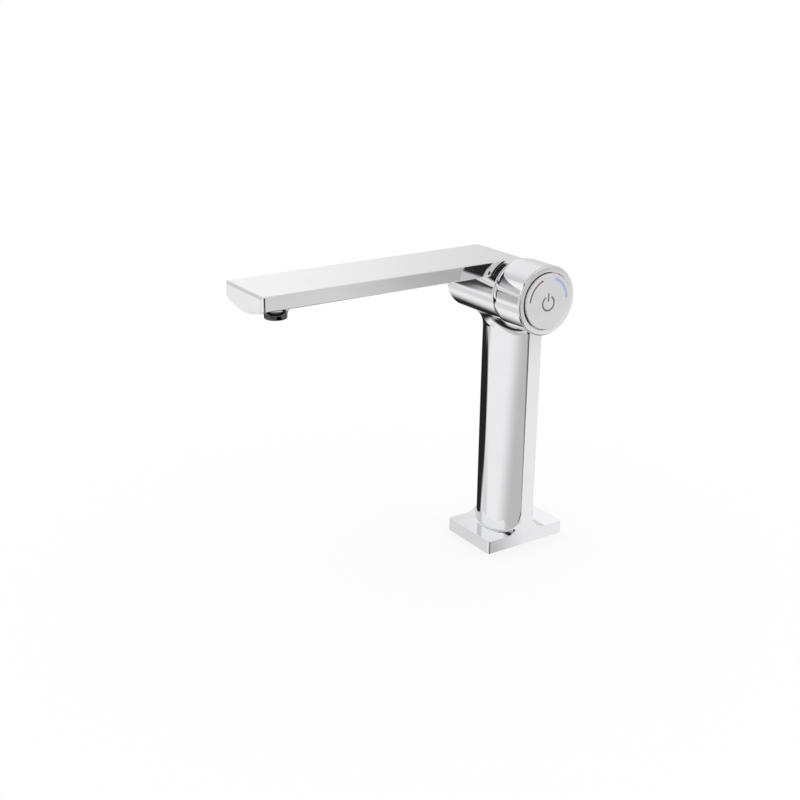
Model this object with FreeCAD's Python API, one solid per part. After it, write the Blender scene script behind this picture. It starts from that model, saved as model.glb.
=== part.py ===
import FreeCAD
import Part
import math
import os

# Basin mixer tap: a slim column on a flat foot, a long flat spout, and a round knob on the right
# with a push button in its face. Turning the knob sets the temperature, pressing the button opens
# and shuts the water.
# Millimetres. The origin is at the centre of the foot's underside, +Z is up, the spout points
# along -Y and the knob along +X.

# Foot plate
foot_width = 45.0
foot_length = 62.7
foot_thickness = 8.8
foot_corner_radius = 1.6
foot_edge_radius = 0.5

# Column: two flat cheeks joined by a bulging front and a flatter bulging back
cheek_width = 9.4
column_front_bulge = 13.8
column_rear_bulge = 10.5
column_wall = 3.2
column_cavity_below_head = 34.6
foot_sweep_radius = 12.0
foot_bulge_radius = 1.2
hood_lean_share = 0.486
hood_below_head = 32.6
hood_sections = 10
hood_end_drop = 0.3
hood_front_inset = 2.0
hood_front_power = 4

# Head: a round housing along X that carries the knob
head_forward = 17.7
head_height = 178.6
head_radius = 20.1
head_overhang = 2.8
head_far_edge_radius = 1.0
head_near_edge_radius = 0.6
head_neck_radius = 12.0

# Spout: a flat slab with a bulging belly
spout_reach = 193.4
spout_side_height = 8.4
spout_thickness = 13.2
spout_wall = 2.2
spout_end_wall = 3.0
spout_corner_radius = 1.8
spout_edge_radius = 0.45
spout_joint_forward = 42.0
spigot_length = 8.0
spigot_wall = 1.8
spigot_gap = 0.05

# Aerator under the spout's tip
aerator_from_tip = 19.9
collar_drop = 6.6
collar_mouth_radius = 6.7
collar_flare_radius = 7.6
collar_lip_height = 1.2
collar_lip_rounding = 0.4
collar_inner_boss_radius = 8.6
collar_inner_boss_height = 1.6
aerator_radius = 5.8
aerator_gap = 0.05
aerator_depth = 7.4
aerator_recess = 0.5
aerator_throat_radius = 4.4
aerator_wall = 0.9
aerator_lip = 0.8
aerator_shell_height = 6.2
grid_height = 3.2
grid_bar = 0.55
grid_pitch = 1.7
screen_thickness = 0.4
screen_crown = 1.6
diffuser_height = 1.4
diffuser_hole_radius = 0.55
diffuser_rings = 2
diffuser_holes_per_ring = 6
seal_thickness = 1.1

# Bore for the mixing cartridge, along X inside the head
bore_radius = 14.2
bore_floor_wall = 5.0
bore_shoulder_depth = 12.3
thread_bore_radius = 16.2
outlet_duct_radius = 2.4
outlet_duct_above_axis = 10.6
supply_duct_radius = 2.6
supply_duct_back = 8.7

# Cartridge
cartridge_gap = 0.1
cartridge_flange_thickness = 2.4
cartridge_flange_radius = 16.0
cartridge_neck_radius = 10.4
cartridge_neck_length = 5.6
cartridge_floor = 1.8
groove_depth = 1.3
groove_share = 0.3
barrel_end_margin = 2.5
seal_ring_section = 0.9
seal_ring_gap = 0.05
seal_groove_width = 2.1
groove_land = 0.75
window_width = 6.0
window_count = 3
drum_radius = 10.2
drum_wall = 1.7
drum_gap = 0.08
drum_end_gap = 0.3
drum_web = 2.0
spindle_radius = 6.4
spindle_gap = 0.08
spindle_flange_radius = 8.2
spindle_flange_thickness = 2.0
spindle_length = 22.0
spindle_key_width = 2.0
spindle_key_height = 0.7
spindle_keys = 8

# Clamping ring that holds the cartridge in the head
nut_radius = 16.1
nut_length = 5.4
nut_notches = 6
nut_notch_width = 4.0
nut_notch_depth = 1.8
nut_gap = 0.15

# Plastic glide ring between head and knob
glide_flange = 0.7
glide_outer_radius = 18.6
glide_inner_radius = 12.4
glide_spigot_length = 2.4

# Shut-off piston and the rod that pushes it
rod_radius = 2.9
rod_end_chamfer = 0.35
piston_gap = 0.08
piston_land = 3.6
piston_waist_radius = 4.6
piston_waist_short = 1.0
piston_ring_section = 0.55
rod_clip_thickness = 0.7
rod_clip_radius = 4.9

# Knob
knob_radius = 21.6
knob_length = 27.0
knob_wall = 1.5
knob_gap = 0.3
knob_rim_rounding = 1.2
knob_back_rounding = 0.6
knob_lip_thickness = 2.4
button_gap = 0.5
button_radius = 17.3
carrier_hub_radius = 9.6
carrier_hub_length = 9.0
carrier_web = 2.6
carrier_web_from_back = 3.0
carrier_rim_wall = 1.4
carrier_rim_length = 18.0
carrier_gap = 0.05
carrier_ribs = 6
carrier_rib_width = 1.6
grub_radius = 1.5
grub_gap = 0.05
grub_length = 4.4
grub_from_back = 8.0
grub_socket_radius = 0.75
grub_socket_depth = 1.7
grub_recess = 0.5

# Push button
button_proud = 0.5
button_face = 2.2
button_edge_rounding = 0.35
button_skirt_radius = 15.4
button_skirt_wall = 1.2
button_skirt_length = 5.0
button_flange_overlap = 0.5
button_flange_thickness = 1.2
button_flange_gap = 0.4
button_boss_radius = 4.6
button_boss_length = 7.0

# Return spring behind the button
spring_wire_radius = 0.45
spring_mean_radius = 6.6
spring_turns = 5
spring_seat_gap = 0.3

# Inlet block under the column
block_ledge = 1.1
block_flange_height = 5.0
block_plug_radius = 12.1
block_gap = 0.1
block_height = 17.0
block_edge = 0.8
ledge_height = 6.0
inlet_half_spacing = 5.8
inlet_forward = 2.4
inlet_radius = 4.5
inlet_thread_length = 8.0
stud_back = 6.8
stud_radius = 3.4
stud_thread_length = 9.0
tube_radius = 4.0
tube_wall = 0.6
tube_gap = 0.05
tube_socket_depth = 3.0
tube_end_depth = 10.0
block_screw_radius = 1.5
block_screw_head_radius = 2.6
block_screw_head_height = 2.0
block_screw_length = 16.0
block_screw_edge = 0.5
block_screw_angles = (30.0, 150.0, 270.0)
block_screw_gap = 0.1
block_screw_socket_radius = 1.2
block_screw_socket_depth = 1.5
block_screw_sink = 0.4

# Soft ring let into the underside
gasket_inset = 1.8
gasket_width = 2.2
gasket_depth = 1.6
gasket_gap = 0.1
gasket_corner_radius = 5.0

# Overrun of every cutting tool
over = 1.0

# Sizes worked out from the ones above
cheek_x = foot_width / 2
cheek_y = cheek_width / 2
head_y = -head_forward
head_near_x = cheek_x + head_overhang
head_far_x = -cheek_x
spout_top = head_height + head_radius
joint_y = -spout_joint_forward
tip_y = -spout_reach
aerator_y = tip_y + aerator_from_tip
belly_drop = spout_thickness - spout_side_height
belly_radius = (cheek_x ** 2 + belly_drop ** 2) / (2 * belly_drop)
belly_centre_z = spout_top - spout_thickness + belly_radius
belly_bottom = spout_top - spout_thickness
collar_bottom = belly_bottom - collar_drop
hood_bottom = head_height - hood_below_head
column_cavity_top = head_height - column_cavity_below_head
bore_shoulder_x = head_near_x - bore_shoulder_depth
bore_floor_x = head_far_x + bore_floor_wall
flange_x = bore_shoulder_x
flange_end_x = flange_x + cartridge_flange_thickness
neck_end_x = flange_end_x + cartridge_neck_length
barrel_radius = bore_radius - cartridge_gap
grooves_length = (bore_shoulder_x - bore_floor_x - barrel_end_margin
                  - 4 * (seal_groove_width + 2 * groove_land))
groove_width = groove_share * grooves_length
outlet_groove_width = grooves_length - 2 * groove_width
nut_end_x = flange_end_x + nut_length
glide_end_x = head_near_x + glide_flange
knob_back_x = glide_end_x + knob_gap
knob_face_x = knob_back_x + knob_length
button_face_x = knob_face_x + button_proud
lip_inner_radius = button_radius + button_gap
lip_back_x = knob_face_x - knob_lip_thickness
sleeve_inner_radius = knob_radius - knob_wall
carrier_outer_radius = sleeve_inner_radius - carrier_gap
carrier_inner_radius = carrier_outer_radius - carrier_rim_wall
carrier_web_x = knob_back_x + carrier_web_from_back
hub_end_x = carrier_web_x + carrier_hub_length
button_flange_radius = lip_inner_radius + button_flange_overlap
button_flange_x = lip_back_x - button_flange_gap - button_flange_thickness
button_back_x = button_face_x - button_face
seal_ring_centre = bore_radius - seal_ring_gap - seal_ring_section
seal_groove_floor = seal_ring_centre - seal_ring_section - seal_ring_gap
housing_inner_radius = drum_radius + drum_gap
first_land_x = bore_floor_x + groove_land
first_seal_x = first_land_x + seal_groove_width / 2
seal_pitch_hot = seal_groove_width + 2 * groove_land + groove_width
seal_pitch_outlet = seal_groove_width + 2 * groove_land + outlet_groove_width
second_seal_x = first_seal_x + seal_pitch_hot
third_seal_x = second_seal_x + seal_pitch_outlet
fourth_seal_x = third_seal_x + seal_pitch_hot
hot_groove_x = (first_seal_x + second_seal_x) / 2
outlet_groove_x = (second_seal_x + third_seal_x) / 2
cold_groove_x = (third_seal_x + fourth_seal_x) / 2
drum_far_x = bore_floor_x + cartridge_floor + drum_end_gap
drum_near_x = flange_end_x - drum_end_gap
drum_inner_radius = drum_radius - drum_wall
spindle_start_x = drum_near_x - drum_web
spindle_end_x = spindle_start_x + spindle_length
rod_bore_radius = rod_radius + piston_gap
piston_radius = drum_inner_radius - piston_gap
piston_length = 2 * piston_land + outlet_groove_width - piston_waist_short
piston_near_x = outlet_groove_x + outlet_groove_width / 2 + piston_land / 2
piston_far_x = piston_near_x - piston_length
rod_near_x = button_back_x
neck_ring_centre = spindle_radius + seal_ring_gap + seal_ring_section
neck_ring_x = flange_end_x + cartridge_neck_length / 2
block_flange_radius = cheek_x - gasket_inset - gasket_width - block_ledge
block_screw_circle = block_flange_radius - block_screw_head_radius - block_screw_edge
tube_bottom = block_height - tube_socket_depth
tube_top = column_cavity_top + tube_end_depth
inlet_y = -inlet_forward


def vec(x, y, z):
    return FreeCAD.Vector(x, y, z)


def arc(start, middle, end):
    return Part.Arc(start, middle, end).toShape()


def solid_from(edges, run):
    """Face inside a closed run of edges, pushed along the vector run."""
    return Part.Face(Part.Wire(edges)).extrude(run)


def polygon_edges(points):
    closed = points + [points[0]]
    return [Part.LineSegment(a, b).toShape() for a, b in zip(closed, closed[1:])]


def turned_x(points):
    """Solid turned round the knob's axis from points (x, radius)."""
    corners = [vec(x, head_y, head_height + r) for x, r in points]
    face = Part.Face(Part.Wire(polygon_edges(corners)))
    return face.revolve(vec(0, head_y, head_height), vec(1, 0, 0), 360)


def disc_x(x_from, x_to, radius):
    return Part.makeCylinder(radius, x_to - x_from, vec(x_from, head_y, head_height), vec(1, 0, 0))


def ring_x(x_from, x_to, inner, outer):
    return disc_x(x_from, x_to, outer).cut(disc_x(x_from - over, x_to + over, inner))


def torus_x(x, radius, section):
    return Part.makeTorus(radius, section, vec(x, head_y, head_height), vec(1, 0, 0))


def around_x(shape, degrees):
    """Copy of a shape turned round the knob's axis."""
    copy = shape.copy()
    copy.rotate(vec(0, head_y, head_height), vec(1, 0, 0), degrees)
    return copy


def upright(radius, x, y, z_from, z_to):
    return Part.makeCylinder(radius, z_to - z_from, vec(x, y, z_from))


def turned_z(points, x, y):
    """Solid turned round an upright axis from points (radius, z)."""
    corners = [vec(x + r, y, z) for r, z in points]
    face = Part.Face(Part.Wire(polygon_edges(corners)))
    return face.revolve(vec(x, y, 0), vec(0, 0, 1), 360)


def edges_along(shape, direction, keep):
    """Straight edges parallel to a direction whose middle passes the test keep."""
    found = []
    for edge in shape.Edges:
        if edge.Curve.TypeId != "Part::GeomLine":
            continue
        along = edge.Curve.Direction
        if abs(abs(along.dot(direction)) - 1) > 1e-6:
            continue
        middle = edge.valueAt((edge.FirstParameter + edge.LastParameter) / 2)
        if keep(middle):
            found.append(edge)
    return found


def bulge_edges(shape, z_from, z_to):
    """Edges where the column's round front or back meets the foot or the head."""
    found = []
    for edge in shape.Edges:
        box = edge.BoundBox
        faces = shape.ancestorsOfType(edge, Part.Face)
        upright_faces = [f for f in faces if f.Surface.TypeId == "Part::GeomCylinder"
                         and abs(f.Surface.Axis.z) > 1 / 2 and f.Surface.Radius > cheek_x]
        flat_sides = [f for f in faces if f.Surface.TypeId == "Part::GeomPlane"
                      and abs(f.Surface.Axis.x) > 1 / 2]
        if len(upright_faces) == 1 and not flat_sides and box.ZMin > z_from and box.ZMax < z_to:
            found.append(edge)
    return found


def spout_section(inset, y):
    """Edges of the spout's cross-section, drawn in from its skin by inset."""
    half = cheek_x - inset
    radius = belly_radius - inset
    side_z = belly_centre_z - math.sqrt(radius ** 2 - half ** 2)
    top = spout_top - inset
    bend = spout_edge_radius
    slant = bend * math.sqrt(1 / 2)
    edges = [Part.LineSegment(vec(-half + bend, y, top), vec(half - bend, y, top)).toShape()]
    for side in (-1, 1):
        wall_x = side * half
        bend_x = side * (half - bend)
        edges.append(Part.LineSegment(vec(wall_x, y, side_z), vec(wall_x, y, top - bend)).toShape())
        edges.append(arc(vec(wall_x, y, top - bend), vec(bend_x + side * slant, y, top - bend + slant),
                         vec(bend_x, y, top)))
    edges.append(arc(vec(-half, y, side_z), vec(0, y, belly_centre_z - radius), vec(half, y, side_z)))
    return Part.sortEdges(edges)[0]


def spout_bar(inset, y_from, y_to):
    return solid_from(spout_section(inset, y_from), vec(0, y_to - y_from, 0))


def column_section(inset, z):
    """Edges of the column's cross-section: two cheeks, bulging front, bulging back."""
    half = cheek_x - inset
    edges = []
    ends = []
    for side, bulge in ((-1, column_front_bulge), (1, column_rear_bulge)):
        radius = (cheek_x ** 2 + bulge ** 2) / (2 * bulge)
        centre = side * (cheek_y + bulge - radius)
        inner = radius - inset
        end_y = centre + side * math.sqrt(inner ** 2 - half ** 2)
        edges.append(arc(vec(-half, end_y, z), vec(0, centre + side * inner, z), vec(half, end_y, z)))
        ends.append(end_y)
    for x in (-half, half):
        edges.append(Part.LineSegment(vec(x, ends[0], z), vec(x, ends[1], z)).toShape())
    return Part.sortEdges(edges)[0]


def column_bar(inset, z_from, z_to):
    return solid_from(column_section(inset, z_from), vec(0, 0, z_to - z_from))


def bend_into_head(back):
    """Centre and radius of the side-view arc that leaves a plumb line and meets the head softly."""
    lean_share = hood_lean_share
    rise_share = math.sqrt(1 - lean_share ** 2)
    step = (back - head_y - head_radius) / (1 - lean_share)
    return head_y - lean_share * step, head_height - rise_share * step, head_radius + step


def back_line(back, z):
    """How far back the column reaches at height z, on a line that starts plumb at back."""
    centre_y, centre_z, radius = bend_into_head(back)
    if z <= centre_z:
        return back
    return centre_y + math.sqrt(radius ** 2 - (z - centre_z) ** 2)


def hood():
    """Back of the column, whose bulge fades as it bends forward over the head."""
    top = head_height + head_radius * math.sqrt(1 - hood_lean_share ** 2) - hood_end_drop
    wide = cheek_x + over
    wires = []
    for step in range(hood_sections + 1):
        z = hood_bottom + (top - hood_bottom) * step / hood_sections
        side_y = back_line(cheek_y, z)
        bulge = back_line(cheek_y + column_rear_bulge, z) - side_y
        radius = (cheek_x ** 2 + bulge ** 2) / (2 * bulge)
        centre = side_y + bulge - radius
        end_y = centre + math.sqrt(radius ** 2 - wide ** 2)
        share = (step / hood_sections) ** hood_front_power
        front_y = -hood_front_inset - (head_forward - hood_front_inset) * share
        corners = [vec(-wide, end_y, z), vec(-wide, front_y, z), vec(wide, front_y, z), vec(wide, end_y, z)]
        edges = [Part.LineSegment(a, b).toShape() for a, b in zip(corners, corners[1:])]
        edges.append(arc(corners[3], vec(0, centre + radius, z), corners[0]))
        wires.append(Part.Wire(edges))
    loft = Part.makeLoft(wires, True)
    trim = Part.makeBox(foot_width, foot_length, spout_top, vec(-cheek_x, -foot_length / 2, 0))
    return loft.common(trim)


def foot_plate():
    plate = Part.makeBox(foot_width, foot_length, foot_thickness, vec(-cheek_x, -foot_length / 2, 0))
    ends = edges_along(plate, vec(1, 0, 0), lambda p: p.z > foot_thickness / 2)
    soft_ends = plate.makeFillet(foot_edge_radius, ends)
    corners = edges_along(plate, vec(0, 0, 1), lambda p: True)
    return soft_ends.common(plate.makeFillet(foot_corner_radius, corners))


def foot_sweep():
    """Hollow curve that carries the cheeks down into the foot, front and back."""
    shapes = []
    for side in (-1, 1):
        inner_y = side * cheek_y
        outer_y = side * (cheek_y + foot_sweep_radius)
        top_z = foot_thickness + foot_sweep_radius
        middle = vec(0, outer_y - side * foot_sweep_radius * math.sin(math.pi / 4),
                     top_z - foot_sweep_radius * math.cos(math.pi / 4))
        edges = polygon_edges([vec(0, outer_y, foot_thickness), vec(0, 0, foot_thickness),
                               vec(0, 0, top_z), vec(0, inner_y, top_z)])[:-1]
        edges.append(arc(vec(0, inner_y, top_z), middle, vec(0, outer_y, foot_thickness)))
        wedge = solid_from(edges, vec(foot_width, 0, 0))
        wedge.translate(vec(-cheek_x, 0, 0))
        shapes.append(wedge)
    return shapes


def head_and_neck():
    """Front half of the column running softly into the head, as wide as the cheeks."""
    front = column_bar(0, hood_bottom, head_height)
    front = front.common(Part.makeBox(foot_width, foot_length, head_height,
                                      vec(-cheek_x, -foot_length, 0)))
    joined = front.fuse(disc_x(head_far_x, cheek_x, head_radius)).removeSplitter()
    return joined.makeFillet(head_neck_radius, bulge_edges(joined, hood_bottom, head_height))


def head_end():
    """Short end of the head that stands out of the cheek towards the knob."""
    end = disc_x(cheek_x - over, head_near_x, head_radius)
    rim = [e for e in end.Edges if e.CenterOfMass.x > head_near_x - over / 2 and e.Length > head_radius]
    return end.makeFillet(head_near_edge_radius, rim)


def head_far_rounding(stub):
    """What the rounding of the head's far edge takes away where that edge is free."""
    disc = disc_x(head_far_x, head_far_x + 2 * head_far_edge_radius, head_radius)
    rim = [e for e in disc.Edges if e.CenterOfMass.x < head_far_x + over / 2 and e.Length > head_radius]
    sliver = disc.cut(disc.makeFillet(head_far_edge_radius, rim))
    free_y = -cheek_y - 2 * head_neck_radius
    free = Part.makeBox(foot_width, foot_length, spout_top, vec(-cheek_x, free_y - foot_length, 0))
    return sliver.common(free).cut(stub)


def gasket_ring(inset, width, height):
    """Rounded rectangular ring under the foot."""
    rings = []
    for extra in (0, width):
        half_x = cheek_x - inset - extra
        half_y = foot_length / 2 - inset - extra
        box = Part.makeBox(2 * half_x, 2 * half_y, height, vec(-half_x, -half_y, 0))
        radius = gasket_corner_radius - inset + gasket_inset - extra
        rings.append(box.makeFillet(radius, edges_along(box, vec(0, 0, 1), lambda p: True)))
    return rings[0].cut(rings[1])


def block_screw_places():
    places = []
    for angle in block_screw_angles:
        turn = math.radians(angle)
        places.append((block_screw_circle * math.cos(turn), block_screw_circle * math.sin(turn)))
    return places


def supply_ducts():
    """Slanting ducts from the tube sockets up to the two inlet grooves of the cartridge."""
    ducts = []
    for side, groove_x in ((-1, hot_groove_x), (1, cold_groove_x)):
        socket_x = side * inlet_half_spacing
        start = vec(socket_x, inlet_y, tube_top - over)
        end = vec(groove_x, head_y + supply_duct_back, head_height - bore_radius + over)
        run = end - start
        ducts.append(Part.makeCylinder(supply_duct_radius, run.Length, start, run))
        ducts.append(upright(tube_radius + tube_gap, socket_x, inlet_y,
                             column_cavity_top - over, tube_top + tube_gap))
    return ducts


def tap_body():
    outer = foot_plate()
    column = column_bar(0, foot_thickness / 2, hood_bottom)
    stub = spout_bar(0, joint_y, head_y)
    for piece in [column, hood(), head_and_neck(), head_end(), stub] + foot_sweep():
        outer = outer.fuse(piece)
    outer = outer.removeSplitter()
    foot_top = foot_thickness + foot_sweep_radius + over
    outer = outer.makeFillet(foot_bulge_radius, bulge_edges(outer, 0, foot_top))
    outer = outer.cut(head_far_rounding(stub))
    spigot = spout_bar(spout_wall + spigot_gap, joint_y - spigot_length, joint_y)
    outer = outer.fuse(spigot)
    tools = [
        spout_bar(spout_wall + spigot_gap + spigot_wall, joint_y - spigot_length - over,
                  joint_y + spigot_length),
        Part.makeCylinder(outlet_duct_radius, spout_joint_forward - head_forward - spigot_length / 2,
                          vec(outlet_groove_x, joint_y + spigot_length / 2,
                              head_height + outlet_duct_above_axis), vec(0, 1, 0)),
        disc_x(bore_floor_x, bore_shoulder_x + over, bore_radius),
        disc_x(bore_shoulder_x, head_near_x + over, thread_bore_radius),
        upright(block_flange_radius + block_gap, 0, 0, -over, block_flange_height),
        upright(block_plug_radius + block_gap, 0, 0, 0, block_height + ledge_height + over),
        column_bar(column_wall, block_height + ledge_height, column_cavity_top),
        gasket_ring(gasket_inset - gasket_gap, gasket_width + 2 * gasket_gap, gasket_depth),
    ]
    for x, y in block_screw_places():
        tools.append(upright(block_screw_radius + block_screw_gap, x, y, 0,
                             block_screw_sink + block_screw_length + over))
    for tool in tools + supply_ducts():
        outer = outer.cut(tool)
    return outer


def spout_shell():
    bar = spout_bar(0, tip_y, joint_y)
    corners = edges_along(bar, vec(0, 0, 1), lambda p: p.y < tip_y + over)
    bar = bar.makeFillet(spout_corner_radius, corners)
    inner_boss_top = belly_bottom + spout_wall + collar_inner_boss_height
    hollow = spout_bar(spout_wall, tip_y + spout_end_wall, joint_y + over)
    hollow = hollow.cut(upright(collar_inner_boss_radius, 0, aerator_y, 0, inner_boss_top))
    flare_z = collar_bottom + collar_lip_height
    flare_r = collar_mouth_radius + collar_flare_radius
    flare_middle = (flare_r - collar_flare_radius * math.cos(math.pi / 4),
                    flare_z + collar_flare_radius * math.sin(math.pi / 4))
    outline = [(0, flare_z + collar_flare_radius), (0, collar_bottom),
               (collar_mouth_radius - collar_lip_rounding, collar_bottom),
               (collar_mouth_radius, collar_bottom + collar_lip_rounding),
               (collar_mouth_radius, flare_z), (flare_r, flare_z + collar_flare_radius)]
    points = [vec(r, aerator_y, z) for r, z in outline]
    edges = [Part.LineSegment(a, b).toShape() for a, b in zip(points[:4], points[1:5])]
    edges.append(arc(points[4], vec(flare_middle[0], aerator_y, flare_middle[1]), points[5]))
    edges.append(Part.LineSegment(points[5], points[0]).toShape())
    collar = Part.Face(Part.Wire(edges)).revolve(vec(0, aerator_y, 0), vec(0, 0, 1), 360)
    shell = bar.fuse(collar).cut(hollow)
    socket_top = collar_bottom + aerator_recess + aerator_depth
    shell = shell.cut(upright(aerator_radius + aerator_gap, 0, aerator_y, collar_bottom - over,
                              socket_top))
    return shell.cut(upright(aerator_throat_radius, 0, aerator_y, collar_bottom - over,
                             inner_boss_top + over))


def aerator_housing():
    base = collar_bottom + aerator_recess
    inner = aerator_radius - aerator_wall
    mouth = inner - aerator_lip
    return turned_z([(mouth, base), (aerator_radius, base), (aerator_radius, base + aerator_shell_height),
                     (inner, base + aerator_shell_height), (inner, base + aerator_lip),
                     (mouth, base + aerator_lip)], 0, aerator_y)


def aerator_grid():
    """Straightener: a round ring filled with a square grid."""
    base = collar_bottom + aerator_recess + aerator_lip
    outer = aerator_radius - aerator_wall - aerator_gap
    ring = upright(outer, 0, aerator_y, base, base + grid_height)
    disc = upright(outer - grid_bar, 0, aerator_y, base, base + grid_height)
    steps = int((outer - grid_bar) / grid_pitch)
    bars = []
    for step in range(-steps, steps + 1):
        offset = step * grid_pitch - grid_bar / 2
        bars.append(Part.makeBox(grid_bar, 2 * outer, grid_height, vec(offset, aerator_y - outer, base)))
        bars.append(Part.makeBox(2 * outer, grid_bar, grid_height,
                                 vec(-outer, aerator_y + offset, base)))
    lattice = bars[0].multiFuse(bars[1:]).common(disc)
    return ring.cut(disc).fuse(lattice).removeSplitter()


def aerator_diffuser():
    """Perforated disc above the grid."""
    base = collar_bottom + aerator_recess + aerator_lip + grid_height
    outer = aerator_radius - aerator_wall - aerator_gap
    disc = upright(outer, 0, aerator_y, base, base + diffuser_height)
    for ring in range(1, diffuser_rings + 1):
        circle = ring * outer / (diffuser_rings + 1)
        count = diffuser_holes_per_ring * ring
        for index in range(count):
            turn = 2 * math.pi * index / count
            disc = disc.cut(upright(diffuser_hole_radius, circle * math.cos(turn),
                                    aerator_y + circle * math.sin(turn), base - over,
                                    base + diffuser_height + over))
    return disc


def aerator_screen():
    """Domed sieve in the throat."""
    base = collar_bottom + aerator_recess + aerator_shell_height
    rim = aerator_throat_radius - aerator_gap * 2
    crown = (rim ** 2 + screen_crown ** 2) / (2 * screen_crown)
    centre = base + screen_crown - crown
    dome = Part.makeSphere(crown, vec(0, aerator_y, centre))
    dome = dome.cut(Part.makeSphere(crown - screen_thickness, vec(0, aerator_y, centre)))
    return dome.common(upright(rim, 0, aerator_y, base - screen_thickness, base + screen_crown + over))


def aerator_seal():
    base = collar_bottom + aerator_recess + aerator_shell_height
    ring = upright(aerator_radius, 0, aerator_y, base, base + seal_thickness)
    return ring.cut(upright(aerator_throat_radius, 0, aerator_y, base - over,
                            base + seal_thickness + over))


def window_box(x_from, x_to):
    """Radial cutter for a water window, above the axis."""
    return Part.makeBox(x_to - x_from, window_width, bore_radius + over,
                        vec(x_from, head_y - window_width / 2, head_height))


def cut_windows(shape, inner, first_angle, spans):
    for x_from, x_to in spans:
        box = window_box(x_from, x_to).cut(disc_x(x_from - over, x_to + over, inner))
        for index in range(window_count):
            shape = shape.cut(around_x(box, first_angle + 360 * index / window_count))
    return shape


def groove_spans(narrow):
    return [(hot_groove_x - groove_width / 2 + narrow, hot_groove_x + groove_width / 2 - narrow),
            (outlet_groove_x - outlet_groove_width / 2 + narrow,
             outlet_groove_x + outlet_groove_width / 2 - narrow),
            (cold_groove_x - groove_width / 2 + narrow, cold_groove_x + groove_width / 2 - narrow)]


def cartridge_housing():
    """Stepped barrel with three water grooves, four ring grooves and a neck for the spindle."""
    shape = disc_x(bore_floor_x, flange_x, barrel_radius)
    shape = shape.fuse(disc_x(flange_x, flange_end_x, cartridge_flange_radius))
    shape = shape.fuse(disc_x(flange_end_x, neck_end_x, cartridge_neck_radius))
    for x_from, x_to in groove_spans(0):
        shape = shape.cut(ring_x(x_from, x_to, barrel_radius - groove_depth, bore_radius + over))
    for x in (first_seal_x, second_seal_x, third_seal_x, fourth_seal_x):
        shape = shape.cut(ring_x(x - seal_groove_width / 2, x + seal_groove_width / 2,
                                 seal_groove_floor, bore_radius + over))
    shape = shape.cut(disc_x(bore_floor_x + cartridge_floor, flange_end_x, housing_inner_radius))
    shape = shape.cut(disc_x(flange_end_x - over, neck_end_x + over, spindle_radius + spindle_gap))
    ring_groove = disc_x(neck_ring_x - seal_ring_section - seal_ring_gap,
                         neck_ring_x + seal_ring_section + seal_ring_gap,
                         neck_ring_centre + seal_ring_section + seal_ring_gap)
    shape = shape.cut(ring_groove)
    return cut_windows(shape, housing_inner_radius - over, 0, groove_spans(groove_land)).removeSplitter()


def cartridge_rings():
    rings = [torus_x(x, seal_ring_centre, seal_ring_section)
             for x in (first_seal_x, second_seal_x, third_seal_x, fourth_seal_x)]
    return Part.makeCompound(rings)


def spindle_ring():
    return torus_x(neck_ring_x, neck_ring_centre, seal_ring_section)


def mixing_drum():
    """Turning sleeve whose slots meter the hot and the cold water."""
    shape = disc_x(drum_far_x, drum_near_x, drum_radius)
    shape = shape.cut(disc_x(drum_far_x - over, drum_near_x - drum_web, drum_inner_radius))
    shape = shape.cut(disc_x(drum_near_x - drum_web - over, drum_near_x + over, spindle_flange_radius))
    return cut_windows(shape, drum_inner_radius - over, 180 / window_count, groove_spans(groove_land))


def spindle_key(inner, outer, x_from, x_to):
    return Part.makeBox(x_to - x_from, spindle_key_width, outer - inner,
                        vec(x_from, head_y - spindle_key_width / 2, head_height + inner))


def temperature_spindle():
    """Hollow shaft with a flange in the drum and raised keys that drive the knob."""
    shape = disc_x(spindle_start_x, spindle_end_x, spindle_radius - spindle_key_height)
    shape = shape.fuse(disc_x(spindle_start_x, neck_end_x, spindle_radius))
    shape = shape.fuse(disc_x(spindle_start_x, spindle_start_x + spindle_flange_thickness,
                              spindle_flange_radius))
    root = spindle_radius - 2 * spindle_key_height
    key = spindle_key(root, spindle_radius, neck_end_x - over, spindle_end_x)
    key = key.common(disc_x(neck_end_x - over, spindle_end_x, spindle_radius))
    for index in range(spindle_keys):
        shape = shape.fuse(around_x(key, 360 * index / spindle_keys))
    return shape.cut(disc_x(spindle_start_x - over, spindle_end_x + over, rod_bore_radius)).removeSplitter()


def cartridge_nut():
    shape = ring_x(flange_end_x, nut_end_x, cartridge_neck_radius + nut_gap, nut_radius)
    notch = Part.makeBox(nut_notch_depth + over, nut_notch_width, nut_radius,
                         vec(nut_end_x - nut_notch_depth, head_y - nut_notch_width / 2, head_height))
    notch = notch.cut(disc_x(flange_end_x, nut_end_x + 2 * over, cartridge_neck_radius + nut_notch_depth))
    for index in range(nut_notches):
        shape = shape.cut(around_x(notch, 360 * index / nut_notches))
    return shape


def glide_ring():
    spigot_radius = thread_bore_radius - nut_gap
    spigot_x = head_near_x - glide_spigot_length
    return turned_x([(head_near_x, glide_outer_radius), (glide_end_x, glide_outer_radius),
                     (glide_end_x, glide_inner_radius), (spigot_x, glide_inner_radius),
                     (spigot_x, spigot_radius), (head_near_x, spigot_radius)])


def shutoff_piston():
    """Spool with two lands that cover or clear the outlet slots."""
    ring_centre = piston_radius - piston_ring_section
    shape = disc_x(piston_far_x, piston_near_x, piston_waist_radius)
    for x in (piston_far_x, piston_near_x - piston_land):
        shape = shape.fuse(disc_x(x, x + piston_land, piston_radius))
        middle = x + piston_land / 2
        shape = shape.cut(ring_x(middle - piston_ring_section - piston_gap,
                                 middle + piston_ring_section + piston_gap,
                                 ring_centre - piston_ring_section - piston_gap, piston_radius + over))
    return shape.cut(disc_x(piston_far_x - over, piston_near_x + over, rod_radius)).removeSplitter()


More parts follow.
